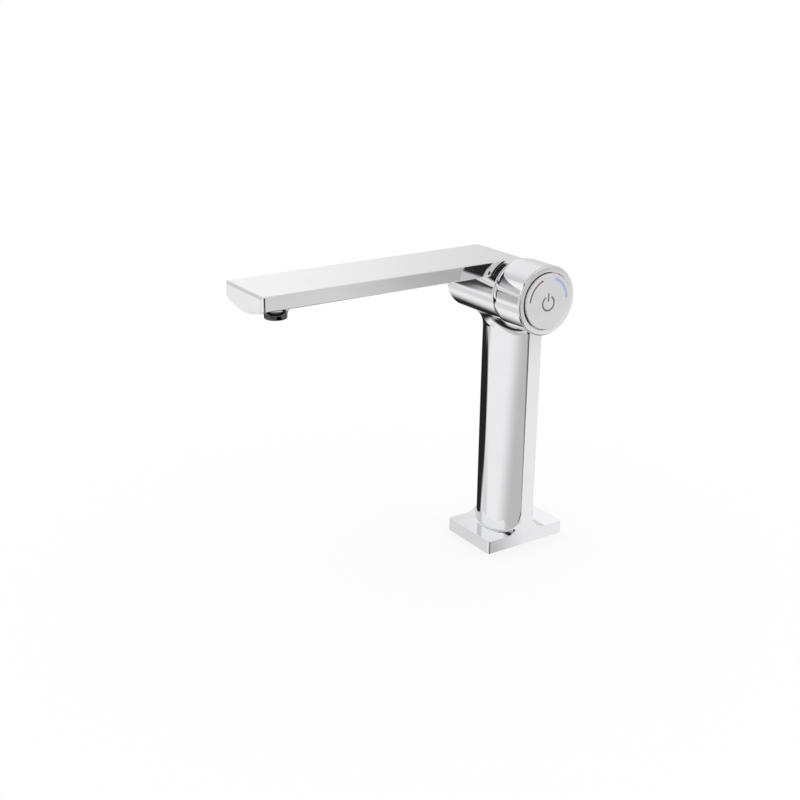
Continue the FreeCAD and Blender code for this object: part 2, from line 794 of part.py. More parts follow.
def piston_rings():
    centre = piston_radius - piston_ring_section
    rings = [torus_x(x, centre, piston_ring_section)
             for x in (piston_far_x + piston_land / 2, piston_near_x - piston_land / 2)]
    return Part.makeCompound(rings)


def push_rod():
    shape = disc_x(piston_far_x, rod_near_x, rod_radius)
    tip = [e for e in shape.Edges if e.Length > rod_radius * 2]
    return shape.makeChamfer(rod_end_chamfer, tip)


def rod_clip():
    """Washer clip on the rod against the piston's near end."""
    return ring_x(piston_near_x, piston_near_x + rod_clip_thickness, rod_radius, rod_clip_radius)


def grub_tool(radius, length, outer):
    return Part.makeCylinder(radius, length, vec(knob_back_x + grub_from_back, head_y, head_height - outer),
                             vec(0, 0, 1))


def knob_sleeve():
    """Polished outer ring of the knob, open at the back, with a narrow lip round the button."""
    shape = disc_x(knob_back_x, knob_face_x, knob_radius)
    rim = [e for e in shape.Edges if e.CenterOfMass.x > knob_face_x - over and e.Length > knob_radius]
    shape = shape.makeFillet(knob_rim_rounding, rim)
    back = [e for e in shape.Edges if e.CenterOfMass.x < knob_back_x + over / 2
            and e.Length > knob_radius]
    shape = shape.makeFillet(knob_back_rounding, back)
    shape = shape.cut(disc_x(knob_back_x - over, lip_back_x, sleeve_inner_radius))
    shape = shape.cut(disc_x(lip_back_x - over, knob_face_x + over, lip_inner_radius))
    return shape.cut(grub_tool(grub_radius + grub_gap, knob_wall * 2, knob_radius + knob_wall / 2))


def knob_carrier():
    """Moulded inner wheel: splined hub, web with ribs, and the rim that the sleeve sits on."""
    bore = spindle_radius + spindle_gap
    shape = ring_x(carrier_web_x, hub_end_x, bore, carrier_hub_radius)
    shape = shape.fuse(ring_x(carrier_web_x, carrier_web_x + carrier_web, bore, carrier_outer_radius))
    shape = shape.fuse(ring_x(carrier_web_x, carrier_web_x + carrier_rim_length,
                              carrier_inner_radius, carrier_outer_radius))
    rib = Part.makeBox(carrier_hub_length, carrier_rib_width, carrier_inner_radius - carrier_hub_radius
                       + 2 * carrier_gap, vec(carrier_web_x, head_y - carrier_rib_width / 2,
                                              head_height + carrier_hub_radius - carrier_gap))
    for index in range(carrier_ribs):
        shape = shape.fuse(around_x(rib, 360 * (index + 1 / 2) / carrier_ribs))
    boss = grub_tool(grub_radius * 2, carrier_rim_wall * 2, carrier_outer_radius - carrier_rim_wall)
    shape = shape.fuse(boss)
    return shape.cut(grub_tool(grub_radius + grub_gap, grub_length * 2,
                               knob_radius + knob_wall)).removeSplitter()


def knob_grub_screw():
    screw = grub_tool(grub_radius, grub_length, knob_radius - grub_recess)
    socket = grub_tool(grub_socket_radius, grub_socket_depth + over, knob_radius - grub_recess + over)
    return screw.cut(socket)


def push_button():
    """Dished cap: face, stepped flange behind the knob's lip, skirt, and a boss for the rod."""
    face = disc_x(button_back_x, button_face_x, button_radius)
    rim = [e for e in face.Edges if e.CenterOfMass.x > button_face_x - over / 2
           and e.Length > button_radius]
    shape = face.makeFillet(button_edge_rounding, rim)
    skirt_x = button_back_x - button_skirt_length
    shape = shape.fuse(ring_x(skirt_x, button_back_x, button_skirt_radius - button_skirt_wall,
                              button_skirt_radius))
    shape = shape.fuse(ring_x(button_flange_x, button_flange_x + button_flange_thickness,
                              button_skirt_radius - button_skirt_wall, button_flange_radius))
    boss = ring_x(button_back_x - button_boss_length, button_back_x, rod_radius, button_boss_radius)
    return shape.fuse(boss).removeSplitter()


def return_spring():
    """Coil between the carrier's hub and the back of the button."""
    start = hub_end_x + spring_seat_gap + spring_wire_radius
    end = button_back_x - spring_seat_gap - spring_wire_radius
    pitch = (end - start) / spring_turns
    helix = Part.makeHelix(pitch, end - start, spring_mean_radius)
    wire = Part.Wire(helix.Edges)
    profile = Part.Wire(Part.makeCircle(spring_wire_radius, vec(spring_mean_radius, 0, 0), vec(0, 1, 0)))
    coil = wire.makePipeShell([profile], True, False)
    coil.rotate(vec(0, 0, 0), vec(0, 1, 0), 90)
    coil.translate(vec(start, head_y, head_height))
    return coil


def inlet_block():
    """Turned plug in the foot with two threaded inlets, the stud's thread and the tube sockets."""
    shape = upright(block_flange_radius, 0, 0, 0, block_flange_height)
    plug = upright(block_plug_radius, 0, 0, 0, block_height)
    rim = [e for e in plug.Edges if e.Closed and e.CenterOfMass.z > block_height - block_edge]
    shape = shape.fuse(plug.makeChamfer(block_edge, rim))
    for side in (-1, 1):
        x = side * inlet_half_spacing
        shape = shape.cut(upright(inlet_radius, x, inlet_y, -over, inlet_thread_length))
        shape = shape.cut(upright(tube_radius + tube_gap, x, inlet_y, 0, block_height + over))
    shape = shape.cut(upright(stud_radius, 0, stud_back, -over, stud_thread_length))
    for x, y in block_screw_places():
        shape = shape.cut(upright(block_screw_radius + block_screw_gap, x, y, 0, block_height + over))
        shape = shape.cut(upright(block_screw_head_radius + block_screw_gap, x, y, -over,
                                  block_screw_sink + block_screw_head_height))
    return shape


def block_screws():
    screws = []
    for x, y in block_screw_places():
        head = upright(block_screw_head_radius, x, y, block_screw_sink,
                       block_screw_sink + block_screw_head_height)
        screw = head.fuse(upright(block_screw_radius, x, y, block_screw_sink,
                                  block_screw_sink + block_screw_length))
        screws.append(screw.cut(upright(block_screw_socket_radius, x, y, 0,
                                        block_screw_sink + block_screw_socket_depth)))
    return Part.makeCompound(screws)


def supply_tube(side):
    x = side * inlet_half_spacing
    tube = upright(tube_radius, x, inlet_y, tube_bottom, tube_top)
    return tube.cut(upright(tube_radius - tube_wall, x, inlet_y, tube_bottom - over, tube_top + over))


def base_gasket():
    return gasket_ring(gasket_inset, gasket_width, gasket_depth)


def save(name, shape):
    shape.exportStep(os.path.join("parts", name + ".step"))
    print(name, round(shape.Volume, 1), len(shape.Solids), shape.isValid())


def main():
    os.makedirs("parts", exist_ok=True)
    save("tap_body", tap_body())
    save("spout_shell", spout_shell())
    save("aerator_housing", aerator_housing())
    save("aerator_grid", aerator_grid())
    save("aerator_diffuser", aerator_diffuser())
    save("aerator_screen", aerator_screen())
    save("aerator_seal", aerator_seal())
    save("cartridge_housing", cartridge_housing())
    save("cartridge_rings", cartridge_rings())
    save("spindle_ring", spindle_ring())
    save("mixing_drum", mixing_drum())
    save("temperature_spindle", temperature_spindle())
    save("cartridge_nut", cartridge_nut())
    save("glide_ring", glide_ring())
    save("shutoff_piston", shutoff_piston())
    save("piston_rings", piston_rings())
    save("push_rod", push_rod())
    save("rod_clip", rod_clip())
    save("knob_sleeve", knob_sleeve())
    save("knob_carrier", knob_carrier())
    save("knob_grub_screw", knob_grub_screw())
    save("push_button", push_button())
    save("return_spring", return_spring())
    save("inlet_block", inlet_block())
    save("block_screws", block_screws())
    save("hot_supply_tube", supply_tube(-1))
    save("cold_supply_tube", supply_tube(1))
    save("base_gasket", base_gasket())


main()
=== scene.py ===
"""A single-hole basin mixer tap in polished chrome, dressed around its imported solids."""

import math
from collections import namedtuple

import bmesh
import bpy
from bpy.props import FloatProperty, FloatVectorProperty, IntProperty, PointerProperty
from mathutils import Matrix, Quaternion, Vector


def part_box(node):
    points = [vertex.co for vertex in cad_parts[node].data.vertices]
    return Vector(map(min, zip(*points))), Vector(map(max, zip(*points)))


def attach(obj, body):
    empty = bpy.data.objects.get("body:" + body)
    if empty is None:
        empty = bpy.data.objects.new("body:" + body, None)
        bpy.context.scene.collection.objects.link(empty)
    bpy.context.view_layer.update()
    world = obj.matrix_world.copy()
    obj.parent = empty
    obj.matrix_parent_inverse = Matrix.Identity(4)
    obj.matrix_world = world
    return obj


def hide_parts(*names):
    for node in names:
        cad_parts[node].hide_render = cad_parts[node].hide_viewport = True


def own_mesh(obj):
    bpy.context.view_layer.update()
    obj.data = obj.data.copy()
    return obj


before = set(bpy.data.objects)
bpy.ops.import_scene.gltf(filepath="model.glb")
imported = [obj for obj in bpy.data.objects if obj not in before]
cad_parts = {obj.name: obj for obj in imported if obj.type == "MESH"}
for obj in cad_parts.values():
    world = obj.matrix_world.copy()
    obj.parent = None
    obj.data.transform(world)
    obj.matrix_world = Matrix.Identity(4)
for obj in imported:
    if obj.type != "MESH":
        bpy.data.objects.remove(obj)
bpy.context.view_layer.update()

bl_info = {
    "name": "Basin mixer tap",
    "version": (1, 0, 0),
    "blender": (4, 5, 0),
    "location": "View3D > Sidebar > Mixer tap",
    "description": "Finishes, knob sleeve, return spring, button marks and studio of a basin mixer",
    "category": "Object",
}

sleeve_low, sleeve_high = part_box("knob_sleeve")
spring_low, spring_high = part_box("return_spring")
BUTTON_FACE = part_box("push_button")[1].x
COLLAR_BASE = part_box("aerator_housing")[0].z
KNOB_CENTRE = (sleeve_low + sleeve_high) / 2  # a point on the knob's axis, which runs along X

CHROME_NODES = ("tap_body",)
SPOUT_NODES = ("spout_shell", "aerator_housing")
STEEL_NODES = (
    "aerator_screen", "block_screws", "knob_grub_screw", "rod_clip", "mixing_drum", "push_rod",
)
BRASS_NODES = ("cartridge_housing", "temperature_spindle", "cartridge_nut", "inlet_block")
COPPER_NODES = ("hot_supply_tube", "cold_supply_tube")
RUBBER_NODES = ("aerator_seal", "cartridge_rings", "piston_rings", "spindle_ring", "base_gasket")
WHITE_NODES = ("aerator_grid", "aerator_diffuser")
BLACK_NODES = ("glide_ring", "knob_carrier", "shutoff_piston")

MERGE_DISTANCE = 1e-7  # metres, for the doubles that a spin leaves
ON_RING = 2e-6         # metres, for finding the edges of one ring again


# Sizes and colours that a user would change

def colour(name, description, value):
    """A colour property with this default."""
    return FloatVectorProperty(
        name=name, description=description, default=value, size=3, subtype="COLOR", min=0, max=1,
    )


def share(name, description, value):
    """A property from nothing to all of something."""
    return FloatProperty(
        name=name, description=description, default=value, min=0, max=1, subtype="FACTOR",
    )


def length(name, description, value):
    """A length in metres."""
    return FloatProperty(
        name=name, description=description, default=value, min=0, precision=5,
        subtype="DISTANCE", unit="LENGTH",
    )


def angle(name, description, degrees):
    """An angle, given here in degrees."""
    return FloatProperty(
        name=name, description=description, default=math.radians(degrees),
        subtype="ANGLE", unit="ROTATION",
    )


def level(name, description, value):
    """A light level, where one is white."""
    return FloatProperty(name=name, description=description, default=value, min=0, max=4)


class TapFinish(bpy.types.PropertyGroup):
    """Colours and gloss of the tap's own materials."""

    chrome_tint: colour("Chrome", "Reflected colour of the polished plate", (0.89, 0.892, 0.905))
    chrome_gloss: share("Chrome roughness", "Roughness of the polished plate", 0.035)
    chrome_haze: share("Chrome haze", "Extra roughness in the hazy patches of the plate", 0.03)
    chrome_ripple: length("Chrome ripple", "Height of the plate's long soft ripple", 0.00001)
    # Painted shade: a dark chrome colour for the collar low on the spout, standing in for the dark
    # reflection that the collar shows
    collar_painted_shade: colour(
        "Painted_shade chrome", "Reflected colour of the collar's darker plate", (0.09, 0.09, 0.095))
    collar_height: length(
        "Collar height", "How far up from the outlet the smoked plate reaches", 0.0058)
    satin_tint: colour("Satin", "Reflected colour of the button's satin face", (0.92, 0.92, 0.93))
    satin_gloss: share("Satin roughness", "Roughness of the button's satin face", 0.29)
    steel_tint: colour("Steel", "Colour of the screws, spring and strainer", (0.62, 0.62, 0.63))
    brass_tint: colour("Brass", "Colour of the turned brass", (0.72, 0.56, 0.29))
    copper_tint: colour("Copper", "Colour of the supply tubes", (0.74, 0.42, 0.29))
    rubber_tint: colour("Rubber", "Colour of the seals and the gasket", (0.022, 0.022, 0.024))
    white_tint: colour("White plastic", "Colour of the moulded white plastic", (0.79, 0.79, 0.77))
    black_tint: colour("Black plastic", "Colour of the moulded black plastic", (0.03, 0.03, 0.032))


class TapSleeve(bpy.types.PropertyGroup):
    """The turned sleeve of the knob."""

    wall: length("Wall", "Thickness of the sleeve's wall", 0.0015)
    waist: length("Waist", "How much the back edge is turned down", 0.00125)
    taper: length("Taper", "Length of the turned-down back edge", 0.0036)
    rim_rounding: length("Rim rounding", "Rounding of the rim round the button", 0.0012)
    set_back: length("Set back", "How far the face sits behind the packed sleeve's face", 0.0009)
    lip_depth: length("Lip depth", "From the packed sleeve's face to the back of the lip", 0.0024)
    lip_opening: length("Lip opening", "Radius of the hole that the button sits in", 0.0178)
    lip_rounding: length("Lip rounding", "Rounding of the lip's inner edge", 0.0003)
    turns: IntProperty(name="Facets", description="Facets round the sleeve", default=144, min=24)


class TapSpring(bpy.types.PropertyGroup):
    """The coil spring that returns the button."""

    wire: length("Wire", "Radius of the spring's wire", 0.00045)
    travel: length("Travel", "How far the button presses the spring", 0.003)
    coils: IntProperty(name="Coils", description="Turns of the spring", default=5, min=2)
    facets: IntProperty(name="Facets", description="Facets along each coil", default=40, min=12)


class TapMarks(bpy.types.PropertyGroup):
    """The printed marks on the button's face."""

    grey: colour("Sign", "Colour of the on and off sign", (0.17, 0.165, 0.175))
    red: colour("Hot", "Colour of the hot arc", (0.16, 0.065, 0.075))
    blue: colour("Cold", "Colour of the cold arc", (0.40, 0.51, 0.72))
    arc_radius: length("Arc radius", "Middle of the coloured arcs", 0.0141)
    hot_width: length("Hot arc width", "Width of the hot arc", 0.0010)
    cold_width: length("Cold arc width", "Width of the cold arc", 0.0018)
    arc_gap: angle("Arc gap", "Where an arc starts, from the top of the knob", 21)
    arc_end: angle("Arc end", "Where an arc ends, from the top of the knob", 85)
    ring_radius: length("Ring radius", "Middle of the sign's ring", 0.0044)
    ring_drop: length("Ring drop", "How far the ring sits below the knob's axis", 0.0012)
    ring_width: length("Ring width", "Width of the sign's lines", 0.00115)
    ring_gap: angle("Ring gap", "Half of the opening at the top of the ring", 34)
    bar_top: length("Bar top", "Top of the sign's bar above the knob's axis", 0.0052)
    bar_length: length("Bar length", "Length of the sign's bar", 0.0052)
    edge: length("Edge", "Softness of a mark's edge", 0.00012)


class TapStudio(bpy.types.PropertyGroup):
    """The camera, the floor and the light."""

    camera_azimuth: angle("Camera azimuth", "Round from the front, towards the knob", 56.14)
    camera_elevation: angle("Camera elevation", "Above the horizon", 19.89)
    camera_roll: angle("Camera roll", "Turn about its own axis", 0.58)
    camera_distance: length("Camera distance", "From the point it looks at", 0.78399)
    camera_target: FloatVectorProperty(
        name="Camera target", description="The point that the camera looks at", size=3,
        default=(-0.01417, -0.07858, 0.10675), subtype="TRANSLATION", unit="LENGTH",
    )
    camera_lens: FloatProperty(
        name="Lens", description="Focal length on a 36 mm sensor", default=55.41, min=10,
        unit="CAMERA",
    )
    sky: level("Sky", "Level of the studio above the horizon", 0.66)
    ground: level("Ground", "Level of the studio below the horizon", 0.92)
    plain: level("Plain light", "Even light on everything that isn't glossy", 0.96)
    shade: level("Shade", "Level of the dark boards beside the tap", 0.02)
    floor_show: share(
        "Floor shadow", "How much of the floor's real shade the camera sees", 0.3)
    floor_size: length("Floor size", "Side of the floor", 12.0)


# Shader maths

class Wire:
    """Wraps a socket that carries a number, so that an expression on it adds its Math nodes."""

    def __init__(self, board, node, output):
        self.board, self.node, self.socket = board, node, node.outputs[output]

    def output(self, name):
        """Another output of the same node."""
        return Wire(self.board, self.node, name)

    def math(self, operation, first, second=0.0):
        """A Math node on two values, where either may be a plain number."""
        return self.board.add("ShaderNodeMath", {"operation": operation}, {0: first, 1: second})

    def __add__(self, other):
        return self.math("ADD", self, other)

    def __sub__(self, other):
        return self.math("SUBTRACT", self, other)

    def __rsub__(self, other):
        return self.math("SUBTRACT", other, self)

    def __mul__(self, other):
        return self.math("MULTIPLY", self, other)

    def __truediv__(self, other):
        return self.math("DIVIDE", self, other)

    def __rtruediv__(self, other):
        return self.math("DIVIDE", other, self)

    def __pow__(self, other):
        return self.math("POWER", self, other)

    def __rpow__(self, other):
        return self.math("POWER", other, self)

    def __abs__(self):
        return self.math("ABSOLUTE", self)

    __radd__, __rmul__ = __add__, __mul__

    def most(self, other):
        """The larger of two values."""
        return self.math("MAXIMUM", self, other)


class Board:
    """The nodes of one material, or of the world."""

    def __init__(self, tree):
        self.tree = tree
        tree.nodes.clear()

    def add(self, kind, settings=None, inputs=None, output=0):
        """Adds a node of this type, sets its settings, then fills or links its sockets."""
        node = self.tree.nodes.new(kind)
        for name, value in (settings or {}).items():
            setattr(node, name, value)
        for key, value in (inputs or {}).items():
            if isinstance(value, Wire):
                self.tree.links.new(value.socket, node.inputs[key])
            else:
                node.inputs[key].default_value = value
        return Wire(self, node, output) if node.outputs else None

    def smooth(self, value, start, end, before=0.0, after=1.0):
        """A soft step from before to after as value goes from start to end."""
        return self.add(
            "ShaderNodeMapRange", {"interpolation_type": "SMOOTHSTEP"},
            {0: value, 1: start, 2: end, 3: before, 4: after},
        )

    def bearing(self, sideways, forward):
        """The angle in radians from forward towards sideways."""
        return self.add("ShaderNodeMath", {"operation": "ARCTAN2"}, {0: sideways, 1: forward})

    def mix(self, factor, first, second):
        """A colour between two, by a factor."""
        colours = {0: factor, 6: first, 7: second}
        return self.add("ShaderNodeMix", {"data_type": "RGBA"}, colours, 2)

    def place(self):
        """The point of the surface, in metres in the tap's own frame."""
        return self.add("ShaderNodeTexCoord", output="Object")

    def split(self, vector):
        """A vector's X, Y and Z."""
        parts = self.add("ShaderNodeSeparateXYZ", None, {0: vector})
        return parts.output("X"), parts.output("Y"), parts.output("Z")

    def stretched(self, scale):
        """The point of the surface, scaled along each axis."""
        return self.add(
            "ShaderNodeMapping", {"vector_type": "POINT"}, {"Vector": self.place(), "Scale": scale},
        )

    def noise(self, vector, scale, detail=2.0, rough=0.5):
        """A noise that stays mostly between 0.3 and 0.7, with scale patches to the metre."""
        return self.add(
            "ShaderNodeTexNoise", None,
            {"Vector": vector, "Scale": scale, "Detail": detail, "Roughness": rough},
        )

    def bump(self, height, distance):
        """A normal from a height that goes from 0 to 1, over distance metres."""
        return self.add("ShaderNodeBump", None, {"Height": height, "Distance": distance})

    def ray(self, *kinds):
        """One for light rays of these kinds, nothing for the others."""
        rays = self.add("ShaderNodeLightPath")
        seen = rays.output(kinds[0])
        for kind in kinds[1:]:
            seen = seen.most(rays.output(kind))
        return seen

    def surface(self, **inputs):
        """Ends a material with its shader."""
        names = {name.replace("_", " "): value for name, value in inputs.items()}
        shader = self.add("ShaderNodeBsdfPrincipled", None, names)
        self.add("ShaderNodeOutputMaterial", None, {"Surface": shader})


def rgba(tint, by=1.0):
    """A colour with its alpha, lighter or darker by a share."""
    return tuple(min(1.0, c * by) for c in tint) + (1.0,)


def new_material(name):
    """A fresh material and its board."""
    material = bpy.data.materials.new(name)
    material.use_nodes = True
    return material, Board(material.node_tree)


# Finishes. A SCALE is how many patches of a noise there are to the metre, along X, Y and Z where
# it has three, and a STEP is the range of that noise over which its effect comes in.

NOISE_MIDDLE = 0.5
WHOLE_STEP = (0.3, 0.7)

RIPPLE_SCALE = 38.0
HAZE_SCALE, HAZE_STEP, HAZE_SHADE = 55.0, (0.45, 0.7), 0.985
WIPE_SCALE, WIPE_STEP, WIPE_ROUGHNESS = (30.0, 900.0, 1400.0), (0.62, 0.74), 0.012
# metres over which the collar's painted shade fades in
PAINTED_SHADE_FADE = 0.0012

BLAST_SCALE, BLAST_ROUGHNESS, BLAST_RELIEF = 5200.0, 0.08, 0.000012
SATIN_SCALE, SATIN_SHADES = 120.0, (0.98, 1.02)
ARC_END_EDGE = 0.004            # radians
RING_SEAM = math.pi - 0.01      # where the sign's half rings end, short of the angle's jump below
PRINT_DEPTH = (0.0008, 0.0004)  # metres behind the button's face, where the marks come in
INK_METAL_LOSS, INK_ROUGHNESS = 0.9, 0.12

TARNISH_SCALE, TARNISH_STEP = 90.0, (0.35, 0.7)
TARNISH_SHADE, TARNISH_ROUGHNESS = 0.86, 0.12
TOOL_SHADE, TOOL_ROUGHNESS, TOOL_RELIEF = 1.04, 0.1, 0.00001

MOTTLE_SCALE, MOTTLE_SHADES = 140.0, (0.95, 1.04)
GRAIN_ROUGHNESS = 0.12


def polished_chrome(look, name, painted_shade_below=None):
    """Bright plate over a cast body: a long soft ripple, faint haze and hairline wiping marks.

    Below a height its colour turns dark: painted shade that stands in for the dark reflection on
    the collar under the spout's tip."""
    material, board = new_material(name)
    place = board.place()
    ripple = board.noise(place, RIPPLE_SCALE, detail=1.0)
    haze = board.smooth(board.noise(place, HAZE_SCALE, detail=3.0), *HAZE_STEP)
    wiped = board.smooth(board.noise(board.stretched(WIPE_SCALE), 1.0), *WIPE_STEP)
    tint = board.mix(haze, rgba(look.chrome_tint), rgba(look.chrome_tint, HAZE_SHADE))
    # Painted shade: under the collar's top the colour fades to a dark tint, standing in for the
    # dark the collar mirrors
    if painted_shade_below is not None:
        height = board.split(place)[2]
        painted_shade = board.smooth(height, painted_shade_below - PAINTED_SHADE_FADE, painted_shade_below, 1.0, 0.0)
        tint = board.mix(painted_shade, tint, rgba(look.collar_painted_shade))
    board.surface(
        Base_Color=tint, Metallic=1.0,
        Roughness=look.chrome_gloss + haze * look.chrome_haze + wiped * WIPE_ROUGHNESS,
        Normal=board.bump(ripple, look.chrome_ripple),
    )
    return material


def satin_chrome(look, marks):
    """Fine satin plate with the sign and the hot and cold arcs printed on its flat face."""
    material, board = new_material("satin_chrome_marked")
    along, y, z = board.split(board.place())
    across, up = y - KNOB_CENTRE.y, z - KNOB_CENTRE.z

    def line(distance, width):
        """A mask of a line, from the distance to its middle."""
        return board.smooth(
            abs(distance), width / 2 - marks.edge, width / 2 + marks.edge, 1.0, 0.0)

    def arc(radius, width, middle_z, start, end):
        """A mask of an arc with round ends, its angles taken from the top of the knob."""
        rise = up - middle_z
        far = (across * across + rise * rise) ** 0.5
        turned = board.bearing(across, rise)
        inside = board.smooth(turned, start - ARC_END_EDGE, start + ARC_END_EDGE)
        inside = inside * board.smooth(turned, end - ARC_END_EDGE, end + ARC_END_EDGE, 1.0, 0.0)
        mask = line(far - radius, width) * inside
        for tip in (start, end):
            ty, tz = across - radius * math.sin(tip), rise - radius * math.cos(tip)
            mask = mask.most(line((ty * ty + tz * tz) ** 0.5, width))
        return mask

    hot = arc(marks.arc_radius, marks.hot_width, 0.0, -marks.arc_end, -marks.arc_gap)
    cold = arc(marks.arc_radius, marks.cold_width, 0.0, marks.arc_gap, marks.arc_end)
    ring = (marks.ring_radius, marks.ring_width, -marks.ring_drop)
    right = arc(*ring, marks.ring_gap, RING_SEAM)
    left = arc(*ring, -RING_SEAM, -marks.ring_gap)
    bar_middle = marks.bar_top - marks.bar_length / 2
    bar = line(across, marks.ring_width) * line(up - bar_middle, marks.bar_length)
    front = board.smooth(along, BUTTON_FACE - PRINT_DEPTH[0], BUTTON_FACE - PRINT_DEPTH[1])
    hot, cold, sign = hot * front, cold * front, right.most(left).most(bar) * front

    blasted = board.noise(board.place(), BLAST_SCALE)
    patch = board.smooth(board.noise(board.place(), SATIN_SCALE), *WHOLE_STEP)
    tint = board.mix(patch, *(rgba(look.satin_tint, by) for by in SATIN_SHADES))
    for mask, ink in ((hot, marks.red), (cold, marks.blue), (sign, marks.grey)):
        tint = board.mix(mask, tint, rgba(ink))
    inked = hot.most(cold).most(sign)
    blast = (blasted - NOISE_MIDDLE) * BLAST_ROUGHNESS
    board.surface(
        Base_Color=tint,
        Metallic=1.0 - inked * INK_METAL_LOSS,
        Roughness=look.satin_gloss + blast + inked * INK_ROUGHNESS,
        Normal=board.bump(blasted, BLAST_RELIEF),
    )
    return material


def turned_metal(name, tint, lines, roughness):
    """Bare metal with tool marks: lines gives how close they lie along X, Y and Z, per metre."""
    material, board = new_material(name)
    marks = board.noise(board.stretched(lines), 1.0, detail=3.0, rough=0.6)
    tarnish = board.smooth(board.noise(board.place(), TARNISH_SCALE, detail=3.0), *TARNISH_STEP)
    mottled = board.mix(tarnish, rgba(tint), rgba(tint, TARNISH_SHADE))
    mottled = board.mix(board.smooth(marks, *WHOLE_STEP), mottled, rgba(tint, TOOL_SHADE))
    dulled = roughness + tarnish * TARNISH_ROUGHNESS
    board.surface(
        Base_Color=mottled, Metallic=1.0,
        Roughness=dulled + (marks - NOISE_MIDDLE) * TOOL_ROUGHNESS,
        Normal=board.bump(marks, TOOL_RELIEF),
    )
    return material


def moulded(name, tint, roughness, grain, relief):
    """Plastic or rubber with a moulded grain, and a soft mottle in its colour."""
    material, board = new_material(name)
    texture = board.noise(board.place(), grain)
    mottle = board.smooth(board.noise(board.place(), MOTTLE_SCALE), *WHOLE_STEP)
    board.surface(
        Base_Color=board.mix(mottle, *(rgba(tint, by) for by in MOTTLE_SHADES)),
        Roughness=roughness + (texture - NOISE_MIDDLE) * GRAIN_ROUGHNESS,
        Normal=board.bump(texture, relief),
    )
    return material


def dress(names, material):
    """Gives CAD nodes a finish."""
    for name in names:
        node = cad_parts[name]
        node.data.materials.clear()
        node.data.materials.append(material)


# New pieces

SHARP_ANGLE = math.radians(28.0)

# The knob sleeve's turned-down back edge, and the points that hold a rounded corner's curve in
SHOULDER_PLACE = 1 / 3          # share of the taper at which its steep start ends
SHOULDER_DROP = 0.28            # share of the waist that is still to come there
EDGE_ROUNDING, SHOULDER_ROUNDING, CROWN_ROUNDING = 0.0001, 0.0008, 0.0011
CROWN_HOLD = 0.0014             # metres past the crown
RIM_HOLD, LIP_HOLD = 1.25, 1.8  # from the rim and the lip, as multiples of their rounding

SPRING_WIRE_FACETS = 14
EVEN_LINES = (900.0, 900.0, 900.0)
STEEL_ROUGHNESS = 0.24


def clean_spin(mesh):
    """Merges what a spin left double and turns the faces outwards."""
    bmesh.ops.remove_doubles(mesh, verts=mesh.verts, dist=MERGE_DISTANCE)
    bmesh.ops.recalc_face_normals(mesh, faces=mesh.faces)


def new_piece(name, mesh, material):
    """Ends a bmesh as a smooth-shaded object with its sharp edges kept."""
    data = bpy.data.meshes.new(name)
    for face in mesh.faces:
        face.smooth = True
    mesh.to_mesh(data)
    mesh.free()
    data.set_sharp_from_angle(angle=SHARP_ANGLE)
    data.materials.append(material)
    piece = bpy.data.objects.new(name, data)
    bpy.context.scene.collection.objects.link(piece)
    return piece


class TAP_OT_chrome(bpy.types.Operator):
    """Gives the body and the spout their polished chrome, with painted shade darkening the collar's
    colour
    """

    bl_idname = "tap.chrome"
    bl_label = "Polished chrome"

    def execute(self, context):
        look = context.scene.tap_finish
        collar_top = COLLAR_BASE + look.collar_height
        dress(CHROME_NODES, polished_chrome(look, "polished_chrome"))
        dress(SPOUT_NODES, polished_chrome(look, "spout_chrome", collar_top))
        return {"FINISHED"}


class TAP_OT_sleeve(bpy.types.Operator):
    """Turns the knob's sleeve: a soft rim, a face behind the button's and a drawn-in back edge"""

    bl_idname = "tap.sleeve"
    bl_label = "Knob sleeve"

    def execute(self, context):
        size = context.scene.tap_sleeve
        back, face = sleeve_low.x, sleeve_high.x - size.set_back
        lip_back = sleeve_high.x - size.lip_depth
        outer = (sleeve_high.y - sleeve_low.y) / 2
        inner = outer - size.wall
        rim, lip = size.rim_rounding, size.lip_rounding

        # The rings that get rounded, each as its X along the axis and its radius
        edge = (back, outer - size.waist)
        shoulder = (back + size.taper * SHOULDER_PLACE, outer - size.waist * SHOULDER_DROP)
        crown = (back + size.taper, outer)
        corner = (face, outer)
        mouth = (face, size.lip_opening)
        profile = (
            (back, inner), edge, shoulder, crown,
            (crown[0] + CROWN_HOLD, outer), (face - rim * RIM_HOLD, outer),
            corner,
            (face, outer - rim * RIM_HOLD), (face, size.lip_opening + lip * LIP_HOLD),
            mouth, (lip_back, size.lip_opening), (lip_back, inner),
        )
        mesh = bmesh.new()
        points = [mesh.verts.new((x, KNOB_CENTRE.y, KNOB_CENTRE.z + r)) for x, r in profile]
        lines = [mesh.edges.new((a, b)) for a, b in zip(points, points[1:] + points[:1])]
        bmesh.ops.spin(
            mesh, geom=points + lines, cent=KNOB_CENTRE, axis=(1, 0, 0), angle=math.tau,
            steps=size.turns, use_merge=True,
        )
        clean_spin(mesh)
        for place, rounding, segments in (
            (edge, EDGE_ROUNDING, 2),
            (shoulder, SHOULDER_ROUNDING, 6),
            (crown, CROWN_ROUNDING, 6),
            (corner, rim, 10),
            (mouth, lip, 4),
        ):
            bmesh.ops.bevel(
                mesh, geom=self.ring(mesh, *place), offset=rounding, affect="EDGES",
                segments=segments, profile=0.5, material=-1,
            )
        chrome = polished_chrome(context.scene.tap_finish, "knob_chrome")
        sleeve = new_piece("turned_knob_sleeve", mesh, chrome)
        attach(sleeve, "knob")
        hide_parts("knob_sleeve")
        return {"FINISHED"}

    @staticmethod
    def ring(mesh, along, radius):
        """The edges of the ring at this X and radius about the knob's axis."""
        def lies_on(point):
            far = math.hypot(point.y - KNOB_CENTRE.y, point.z - KNOB_CENTRE.z)
            return abs(point.x - along) < ON_RING and abs(far - radius) < ON_RING

        return [line for line in mesh.edges if all(lies_on(end.co) for end in line.verts)]


